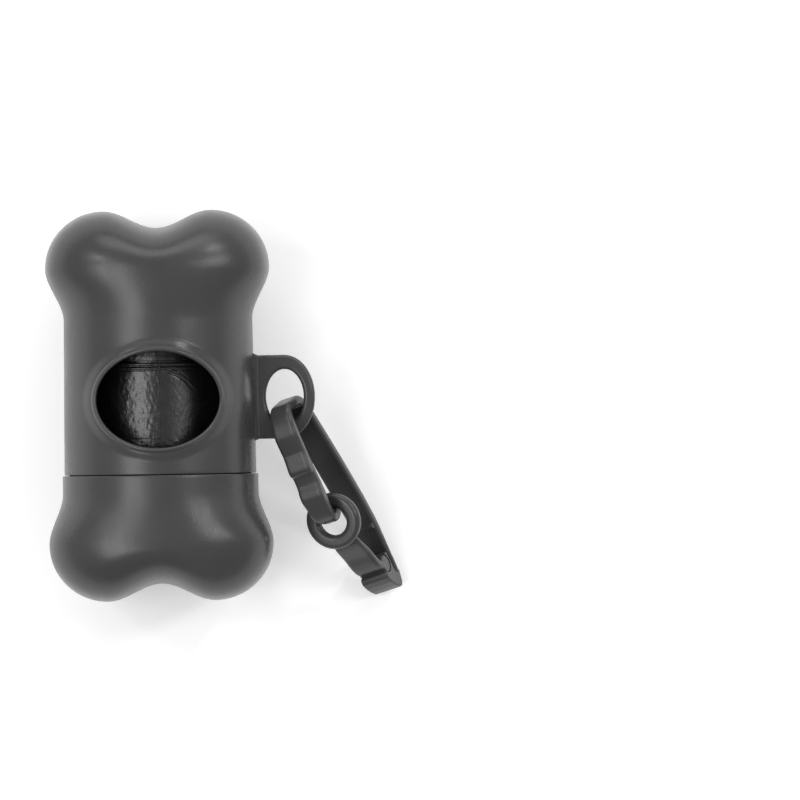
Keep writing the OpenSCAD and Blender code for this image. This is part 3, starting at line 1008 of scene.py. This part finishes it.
@dataclass
class LeadingBag:
    """The loose end of the first bag: a folded band of film, a turn and a bit round the roll.

    Its free edge lies at the top, and its next turn shows to the right of that edge.
    """

    form: RollForm
    finish: bpy.types.Material
    free_edge: float = 88.5
    sweep: float = 435.0
    ply: float = 0.07
    face: float = 14.9
    face_under: float = 14.75

    # Creases along the free end: place across the band, height and how far they reach in degrees.
    creases: tuple[tuple[float, float, float], ...] = (
        (-0.45, 0.05, 24), (-2.1, 0.06, 28), (-2.75, -0.05, 24), (-6.4, 0.05, 26), (-7.4, -0.06, 30),
    )

    def turns(self) -> list[float]:
        """Angles along the band from its free edge, close together where the window shows them."""
        made, at = [], 0.0
        while at < self.sweep:
            made.append(at)
            seen = at < 70 or at > 285
            at += 0.18 if at < 0.9 else (0.6 if seen else 2.4)
        return made + [self.sweep]

    def relief(self, passed: float, across: float) -> float:
        """How far the film stands out from its even lie, in millimetres.

        Args:
            passed: Degrees along the band from its free edge.
            across: Place along the bone, from the band's middle.

        Returns:
            The height.
        """
        half = self.form.band_width / 2
        turn = math.radians(self.free_edge + passed)
        layer = 0.0 if passed < 180 else 5.0
        spot = Vector((math.cos(turn) * self.face, across, math.sin(turn) * self.face + layer))
        crumple = noise.fractal(Vector((spot.x * 0.85, spot.y * 0.62, spot.z * 0.85)), 0.8, 2.1, 5)
        ridged = 1 - abs(noise.noise(Vector((spot.x * 0.9, spot.y * 0.6 + 3, spot.z * 0.9)))) * 2.6
        wide = noise.noise(Vector((spot.x * 0.16, spot.y * 0.1, spot.z * 0.16)))
        loose = 1.0 if passed < 120 else 0.25
        height = loose * (0.042 * crumple + 0.026 * max(0.0, ridged)) + 0.05 * wide
        top = half - across
        height += 0.10 * bump(top, 0.28, 0.22) - 0.09 * bump(top, 0.72, 0.17) + 0.09 * bump(top, 1.12, 0.2)
        height -= 0.07 * bump(top, 1.5, 0.18)
        if passed < 60:
            for place, depth, reach in self.creases:
                wander = 0.35 * noise.noise(Vector((passed * 0.12, place, 2)))
                height += depth * bump(across, place + wander, 0.2) * max(0.0, 1 - passed / reach)
        if passed > 300:
            x = self.face_under * math.cos(turn)
            line = (across - 7.35) + 0.088 * max(0.0, x - 0.9) ** 2
            on = ease((x - 0.6) / 1.4) * (1 - ease((x - 6.2) / 1.6))
            fold = 0.13 * bump(line, 0.0, 0.24) - 0.12 * bump(line, -0.5, 0.32) + 0.04 * ease(line / 0.8)
            height += on * fold
        lower = across + half
        height += 0.08 * bump(lower, 0.7, 0.3) * noise.noise(Vector((passed * 0.2, 1, 4)))
        return height

    def lie(self, passed: float) -> float:
        """Radius of the band's outer face before its relief."""
        return self.form.radius + 0.30 - 0.16 * min(1.0, passed / 360)

    def build(self) -> bpy.types.Object:
        """Builds the band as a thin closed sheet."""
        f, draft = self.form, MeshDraft()
        middle = f.band_middle - f.bone.middle
        half = f.band_width / 2
        places = [-half, -half + 0.06] + steps(-half + 0.2, half - 1.9, 96)
        places += steps(half - 1.8, half - 0.1, 24) + [half - 0.04, half]
        outer_rows, inner_rows = [], []
        for passed in self.turns():
            turn = self.free_edge + passed
            fade = min(1.0, passed / 1.2 + 0.25)
            outer, inner = [], []
            wavy = 0.32 * noise.noise(Vector((passed * 0.11, 9, 1)))
            wavy += 0.12 * noise.noise(Vector((passed * 0.5, 3, 1)))
            for across in places:
                y = middle + across + wavy * ease((-across - half + 2.5) / 2.5)
                up = self.relief(passed, across) * fade
                r = self.lie(passed) + max(-0.2, min(up, f.radius + 0.44 - self.lie(passed)))
                outer.append(f.at(turn, y, r))
                inner.append(f.at(turn, y, r - self.ply))
            outer_rows.append(draft.ring(outer))
            inner_rows.append(draft.ring(inner))
        draft.loft(outer_rows, closed=False)
        draft.loft(inner_rows, closed=False)
        for k in (0, -1):
            draft.bridge(outer_rows[k], inner_rows[k], closed=False)
            draft.bridge([row[k] for row in outer_rows], [row[k] for row in inner_rows], closed=False)
        piece = draft.build("first_bag", 55)
        settle(piece, Body.ROLL, Slot.BAG_FILM, self.finish, "leading_bag")
        return piece


@dataclass
class ClipFrameOfReference:
    """The clip's own axes.

    X runs across the loop towards the hook, Y from the bar to the foot and Z across the strip.
    """

    eyelet: Eyelet
    heading: float = 24.0
    slope: float = 14.0
    roll: float = 24.0
    ahead: float = 0.25
    aside: float = 0.2

    def matrix(self) -> Matrix:
        """Turns and moves the clip's own millimetres into the row frame's."""
        h = math.radians(self.heading)
        e = self.eyelet
        start = Vector((
            e.middle + self.ahead * math.sin(h) - self.aside * math.cos(h),
            e.place - e.bone.middle - self.ahead * math.cos(h) - self.aside * math.sin(h),
            e.bone.axis,
        ))
        turns = Matrix.Rotation(h, 4, "Z") @ Matrix.Rotation(math.radians(self.slope), 4, "X")
        turns = turns @ Matrix.Rotation(math.radians(-self.roll), 4, "Y")
        turns = turns @ Matrix.Rotation(math.pi, 4, "Z") @ Matrix.Rotation(math.radians(-90), 4, "Y")
        return Matrix.Translation(start) @ turns


@dataclass
class Strip:
    """A rounded strip swept along stations of place, width and thickness."""

    stations: Sequence[Station]
    rounding: float = 0.7
    fine: int = 5

    def smoothed(self) -> list[Station]:
        """The stations with smooth curves between them."""
        s = [tuple(p) for p in self.stations]
        made = []
        for i in range(len(s) - 1):
            p0, p1, p2, p3 = s[max(0, i - 1)], s[i], s[i + 1], s[min(len(s) - 1, i + 2)]
            for k in range(self.fine):
                t = k / self.fine
                made.append(tuple(
                    b + 0.5 * ((c - a) + ((2 * a - 5 * b + 4 * c - d) + (3 * b - a - 3 * c + d) * t) * t) * t
                    for a, b, c, d in zip(p0, p1, p2, p3)
                ))
        return made + [s[-1]]

    def add(self, draft: MeshDraft) -> None:
        """Adds the strip to a mesh."""
        s = self.smoothed()
        rings, tips = [], []
        for i, (x, y, wide, thick) in enumerate(s):
            a, b = s[max(0, i - 1)], s[min(len(s) - 1, i + 1)]
            n = math.hypot(b[0] - a[0], b[1] - a[1])
            hx, hy = (b[0] - a[0]) / n, (b[1] - a[1]) / n
            if i in (0, len(s) - 1):
                sign = -0.3 if i == 0 else 0.3
                tips.append((x + hx * sign, y + hy * sign, 0))
            r = min(self.rounding, thick * 0.45)
            h, w = thick / 2 - r, wide / 2 - r
            row = []
            for q in range(4):
                for turn in steps(0, 90, 7):
                    c, sn = math.cos(math.radians(90 * q + turn)), math.sin(math.radians(90 * q + turn))
                    out = (h if q in (0, 3) else -h) + r * c
                    z = (w if q in (0, 1) else -w) + r * sn
                    row.append((x + hy * out, y - hx * out, z))
            rings.append(draft.ring(row))
        draft.loft(rings)
        draft.fan(rings[0], tips[0])
        draft.fan(rings[-1], tips[-1])


def add_block(draft: MeshDraft, outline: Sequence[tuple[float, float]], half: float, soft: float) -> None:
    """Adds a block over an outline in the clip's plane, with softened rims.

    Args:
        draft: The mesh.
        outline: Corners in order.
        half: Half its height across the clip.
        soft: Radius of the rims.
    """
    corners = [Vector(p) for p in outline]
    count = len(corners)
    area = sum(corners[i - 1].x * corners[i].y - corners[i].x * corners[i - 1].y for i in range(count))
    side = 1 if area > 0 else -1

    def inset(by: float) -> list[tuple[float, float]]:
        """The outline moved inward."""
        made = []
        for i, p in enumerate(corners):
            before = (p - corners[i - 1]).normalized()
            after = (corners[(i + 1) % count] - p).normalized()
            normal = Vector((-(before.y + after.y), before.x + after.x)) * side
            normal.normalize()
            spread = max(0.5, abs(normal.dot(Vector((-before.y, before.x)))))
            made.append(tuple(p + normal * (by / spread)))
        return made

    rings = []
    for sign, turns in ((-1, (0, 30, 60, 90)), (1, (90, 60, 30, 0))):
        for turn in turns:
            s, c = math.sin(math.radians(turn)), math.cos(math.radians(turn))
            z = sign * (half - soft * (1 - c))
            rings.append(draft.ring([(x, y, z) for x, y in inset(soft * (1 - s))]))
    draft.loft(rings)
    draft.faces.append(tuple(reversed(rings[0])))
    draft.faces.append(tuple(rings[-1]))


def add_drum(
    draft: MeshDraft, centre: tuple[float, float], radius: float, half: float, soft: float = 0.0
) -> None:
    """Adds a round drum across the clip, with softened rims."""
    x, y = centre
    rings = []
    places = [(-half, radius - soft), (-half + soft * 0.3, radius - soft * 0.3), (-half + soft, radius)]
    places += [(-z, r) for z, r in reversed(places)]
    turns = [2 * math.pi * i / 96 for i in range(96)]
    for z, r in places:
        rings.append(draft.ring([(x + r * math.cos(t), y + r * math.sin(t), z) for t in turns]))
    draft.loft(rings)
    draft.faces.append(tuple(reversed(rings[0])))
    draft.faces.append(tuple(rings[-1]))


def melt(piece: bpy.types.Object, voxel: float, rounds: int) -> bpy.types.Object:
    """Grows overlapping solids into one moulded skin with small fillets.

    Args:
        piece: The object with the overlapping solids.
        voxel: Size of a voxel in millimetres.
        rounds: How often the skin is smoothed.

    Returns:
        The same object.
    """
    grow = piece.modifiers.new("grow", "REMESH")
    grow.mode = "VOXEL"
    grow.voxel_size = voxel * MM
    soften = piece.modifiers.new("soften", "SMOOTH")
    soften.factor = 0.5
    soften.iterations = rounds
    return bake(piece)


@dataclass
class Clip:
    """The snap clip: a bent frame through the eyelet, and a ring lever that closes it.

    The strip is thick through, and hook, spine and foot are the widths of its parts. The places of
    the knuckle and the ring's middle are drawn for a clip as long as drawn.
    """

    place: ClipFrameOfReference
    finish: bpy.types.Material
    length: float = 49.5
    drawn: float = 49.2
    thick: float = 2.2
    hook: float = 5.0
    spine: float = 5.7
    foot: float = 6.4
    ring: float = 6.1
    ring_hole: float = 3.05
    ring_thick: float = 2.4
    ring_tilt: float = 12.0
    ring_at: tuple[float, float] = (3.8, 27.8)
    knuckle_at: tuple[float, float] = (-4.6, 42.8)
    knuckle_radius: float = 1.88
    clearance: float = 0.07
    foot_round: float = 0.22
    rib_round: float = 0.2
    ring_round: float = 0.43
    voxel: float = 0.14

    def __post_init__(self) -> None:
        """Works out the places that follow from the length."""
        self.shift = self.length - self.drawn
        self.scale = self.length / self.drawn
        self.knuckle = (self.knuckle_at[0], self.knuckle_at[1] + self.shift)
        self.ring_centre = (self.ring_at[0], self.ring_at[1] + self.shift)

    def into_place(self, piece: bpy.types.Object) -> None:
        """Moves a piece from the clip's own axes into the row frame."""
        matrix = self.place.matrix()
        matrix.translation *= MM
        piece.data.transform(matrix)
        piece.data.update()

    def spine_stations(self) -> list[Station]:
        """Stations up the spine, from the foot to under the bar."""
        extra = self.foot - self.spine
        drawn = [(-8.2, 47.4, 1, 1.3), (-8.55, 46, 1, 1.4), (-8.75, 44, 1, 1.4), (-8.9, 41.4, 0.9, 1.5),
                 (-9.3, 38.6, 0.43, 1.9), (-9.5, 35, 0.14, 2.2), (-9, 31, 0.3, 2.2), (-8.1, 26.7, 0.55, 2.2),
                 (-6.3, 18, 0.6, 2.2), (-4.5, 9.6, 0.2, 2.2), (-4.0, 6.4, -0.28, 2.2)]
        return [(x, y * self.scale, self.spine + extra * w, t) for x, y, w, t in drawn]

    def bend_stations(self) -> list[Station]:
        """Stations round the bar that passes through the eyelet."""
        m = self.thick / 2
        drawn = [(-2.5 - m, 3.7, 0.3), (-2.35 - m * 0.75, 2.7, 0.4), (-2.2, m + 0.85, 0.4),
                 (-1.1, m + 0.5, 0.4), (0.8, m + 0.3, 0.4), (3.1, m + 0.08, 0.4), (4.4, m + 0.2, 0.4),
                 (5.4, m + 1.1, 0.2), (6.35, m + 2.7, -0.1), (7.0, m + 4.6, -0.3)]
        return [(x, y, self.hook - w, self.thick - w * 0.4) for x, y, w in drawn]

    def arm_stations(self) -> list[Station]:
        """Stations down the hook arm, whose outer face rises and falls in two thumb steps."""
        drawn = [(7.2, 7.4, 0, 0.35), (7.25, 9.3, 0, 0.3), (7.28, 10.4, 0.02, 0.25),
                 (7.32, 12.2, 0.46, 0.2), (7.36, 13.7, 0.86, 0.2), (7.38, 14.2, 0.7, 0.2),
                 (7.4, 14.9, 0.04, 0.25), (7.42, 16.6, -0.08, 0.3), (7.46, 18.0, 0.02, 0.35),
                 (7.55, 19.4, 0.52, 0.35), (7.6, 20.4, 0.7, 0.35), (7.68, 21.2, 0.5, 0.3)]
        return [(x + more / 2, y, self.hook + wide, self.thick + more) for x, y, more, wide in drawn]

    def nose_stations(self) -> list[Station]:
        """Stations round the nose and up its turned tip."""
        drawn = [(7.75, 22.6, 1.01, 1.04), (7.6, 23.8, 1.0, 1), (7.25, 24.8, 0.97, 1),
                 (6.8, 25.5, 0.88, 0.97), (6.25, 26.05, 0.74, 0.92), (5.4, 26.55, 0.64, 0.88),
                 (4.3, 26.9, 0.61, 0.86), (2.75, 26.9, 0.6, 0.84), (1.6, 26.4, 0.6, 0.8),
                 (0.95, 25.5, 0.6, 0.74), (0.8, 24.75, 0.5, 0.6)]
        return [(x, y + self.shift, self.hook * w, self.thick * t) for x, y, w, t in drawn]

    def build_frame(self) -> bpy.types.Object:
        """Builds the bent frame with its foot and the socket for the gate's knuckle."""
        draft = MeshDraft()
        stations = self.spine_stations() + self.bend_stations() + self.arm_stations() + self.nose_stations()
        Strip(stations).add(draft)
        kx, ky = self.knuckle
        drawn = [(-4.8, 3.3), (-4.45, 4.3), (-3.65, 6.1), (-2.8, 6.6), (-1.7, 6.4), (-0.2, 5.3),
                 (1.3, 3.9), (2.3, 2.5), (2.2, 1.5), (0, 0), (-1.5, -1.85), (-2.45, -1.9),
                 (-2.5, 2.2), (-2.85, 3.3), (-3.4, 3.6)]
        add_block(draft, [(kx + x, ky + y) for x, y in drawn], self.foot / 2, self.foot_round)
        rib = self.spine / 2 - 0.4
        x0, y0 = -8.9, 34.6 * self.scale
        corners = [(x0, y0), (x0 + 1.3, y0), (x0 + 1.3, y0 + 1), (x0, y0 + 1)]
        add_block(draft, corners, rib, self.rib_round)
        piece = melt(draft.build("clip_body"), self.voxel, 4)
        cutter_draft = MeshDraft()
        add_drum(cutter_draft, self.knuckle, self.knuckle_radius + self.clearance, self.foot)
        cutter = cutter_draft.build("socket_cutter")
        cut = piece.modifiers.new("socket", "BOOLEAN")
        cut.operation = "DIFFERENCE"
        cut.object = cutter
        bpy.context.view_layer.update()
        bake(piece)
        bpy.data.objects.remove(cutter)
        self.dress(piece, Body.CLIP, "clip_frame")
        return piece

    def build_gate(self) -> bpy.types.Object:
        """Builds the ring, its lever and the knuckle that turns in the foot."""
        draft = MeshDraft()
        cx, cy = self.ring_centre
        st, ct = math.sin(math.radians(self.ring_tilt)), math.cos(math.radians(self.ring_tilt))
        r = self.ring_thick * self.ring_round
        h = self.ring_thick / 2 - r
        a, b = self.ring_hole + r, self.ring - r
        profile = []
        for base, out, up in ((0, b, h), (90, a, h), (180, a, -h), (270, b, -h)):
            for turn in steps(base, base + 90, 6):
                t = math.radians(turn)
                profile.append((out + r * math.cos(t), up + r * math.sin(t)))
        rings = []
        for i in range(96):
            t = 2 * math.pi * i / 96
            row = []
            for out, up in profile:
                y, z = out * math.sin(t), -out * math.cos(t)
                row.append((cx + up * ct + y * st, cy - up * st + y * ct, z))
            rings.append(draft.ring(row))
        draft.loft(rings + [rings[0]])
        grip = self.ring - (self.ring - self.ring_hole) * 0.7
        fx, fy = cx - grip * st, cy + grip * ct
        kx, ky = self.knuckle
        lever = [(fx + 0.2, fy, self.foot - 1.4, 1.5), (fx - 0.4, fy + 2.4, self.foot - 0.3, 1.6)]
        drawn = [(4.9, -5.2, 0, 1.8), (3.8, -3.0, 0, 1.9), (2.8, -1.4, 0.05, 2.0), (1.7, -0.5, 0.1, 2.1),
                 (0.6, -0.1, 0.15, 2.0)]
        lever += [(kx + x, ky + y, self.foot - w, t) for x, y, w, t in drawn]
        Strip(lever, 0.8).add(draft)
        add_drum(draft, self.knuckle, self.knuckle_radius, self.foot / 2 - 0.1, 0.2)
        piece = melt(draft.build("clip_gate_lever"), self.voxel, 3)
        self.dress(piece, Body.GATE, "clip_gate")
        return piece

    def dress(self, piece: bpy.types.Object, body: Body, node: str) -> None:
        """Puts a piece in its place and gives it its finish."""
        piece.data.shade_smooth()
        piece.data.set_sharp_from_angle(angle=math.radians(50))
        self.into_place(piece)
        settle(piece, body, Slot.CLIP_PLASTIC, self.finish, node)


@dataclass
class Softbox:
    """A soft lamp that looks at the object."""

    name: str
    place: tuple[float, float, float]
    size: tuple[float, float]
    power: float
    aim: tuple[float, float, float] = (0.0, 0.0, 0.02)

    def build(self) -> bpy.types.Object:
        """Hangs the lamp, with its place and size in metres."""
        lamp = bpy.data.lights.new(self.name, "AREA")
        lamp.shape = "RECTANGLE"
        lamp.size, lamp.size_y = self.size
        lamp.energy = self.power
        made = bpy.data.objects.new(self.name, lamp)
        made.location = self.place
        way = Vector(self.aim) - Vector(self.place)
        made.rotation_euler = way.to_track_quat("-Z", "Y").to_euler()
        bpy.context.scene.collection.objects.link(made)
        return made


@dataclass
class Studio:
    """The camera straight above, the pale floor and the soft lamps.

    The cap's tip is at tip_row in the picture, and the bone's axis crosses axis_row at axis_column.
    """

    bone: BoneForm
    pixel: float = 0.21255
    turn: float = 0.94
    distance: float = 2500.0
    image: int = 800
    sensor: float = 36.0
    tip_row: float = 601.0
    axis_row: float = 399.0
    axis_column: float = 159.3
    floor_reach: float = 3000.0
    floor_gap: float = 0.02
    sky: float = 0.45
    lamps: tuple[Softbox, ...] = (
        Softbox("lamp_left", (-0.48, -0.12, 0.85), (0.64, 0.44), 4.0),
        Softbox("lamp_left_low", (-0.62, 0.34, 0.70), (0.10, 0.34), 0.9),
        Softbox("lamp_right", (0.60, 0.20, 0.72), (0.12, 0.44), 1.7),
        Softbox("lamp_spark", (0.54, 0.56, 0.59), (0.08, 0.08), 1.3),
        Softbox("lamp_top", (0.0, 0.92, 0.52), (1.1, 0.48), 4.4),
    )

    def camera(self) -> None:
        """Places the camera so that the bone falls where the photograph has it."""
        t = math.radians(self.turn)
        right, up = Vector((math.cos(t), -math.sin(t), 0)), Vector((math.sin(t), math.cos(t), 0))
        half = self.image / 2
        on_axis = Vector((0, (self.tip_row - self.axis_row) * self.pixel - self.bone.middle, 0))
        across, down = (half - self.axis_column) * self.pixel, (half - self.axis_row) * self.pixel
        centre = on_axis + right * across - up * down
        data = bpy.data.cameras.new("camera")
        data.sensor_width = self.sensor
        data.lens = self.sensor * self.distance / (self.image * self.pixel)
        data.clip_start, data.clip_end = 0.1, 20
        made = bpy.data.objects.new("camera", data)
        made.location = (centre.x * MM, centre.y * MM, (self.bone.axis + self.distance) * MM)
        made.rotation_euler = (0, 0, -t)
        bpy.context.scene.collection.objects.link(made)
        bpy.context.scene.camera = made

    def floor(self) -> None:
        """Lays a sheet of paper under the object."""
        draft = MeshDraft()
        places = steps(-self.floor_reach, self.floor_reach, 24)
        rows = [draft.ring([(x, y, -self.floor_gap) for x in places]) for y in places]
        draft.loft(rows, closed=False)
        made = draft.build("floor")
        made.data.materials.append(PaleFloor().make())

    def air(self) -> None:
        """Fills the room with even white light."""
        world = bpy.data.worlds.new("room")
        bpy.context.scene.world = world
        world.use_nodes = True
        back = world.node_tree.nodes["Background"]
        back.inputs["Color"].default_value = (1, 1, 1, 1)
        back.inputs["Strength"].default_value = self.sky

    def build(self) -> None:
        """Sets up the whole studio."""
        self.camera()
        self.floor()
        self.air()
        for lamp in self.lamps:
            lamp.build()
        bpy.context.scene.view_settings.view_transform = "Standard"
        log.info("studio: camera %.0f mm over the table, %d lamps", self.distance, len(self.lamps))


def main() -> None:
    """Builds the studio and every piece in order."""
    logging.basicConfig(level=logging.INFO, format="%(name)s: %(message)s")
    noise.seed_set(7)
    bone = BoneForm()
    Studio(bone).build()
    case_plastic = MouldedPlastic("case_plastic").make()
    clip_plastic = MouldedPlastic(
        "clip_plastic", (0.036, 0.036, 0.0375), (0.043, 0.043, 0.0445), 0.22, 0.32
    ).make()
    film = BagFilm("bag_film").make()
    board = Cardboard("core_cardboard").make()
    Case(bone, case_plastic).build()
    Cap(bone, case_plastic).build()
    roll = RollForm(bone)
    Core(roll, board).build()
    WoundBags(roll, film).build()
    LeadingBag(roll, film).build()
    clip = Clip(ClipFrameOfReference(Eyelet(bone)), clip_plastic)
    clip.build_frame()
    clip.build_gate()


if __name__ == "__main__":
    main()
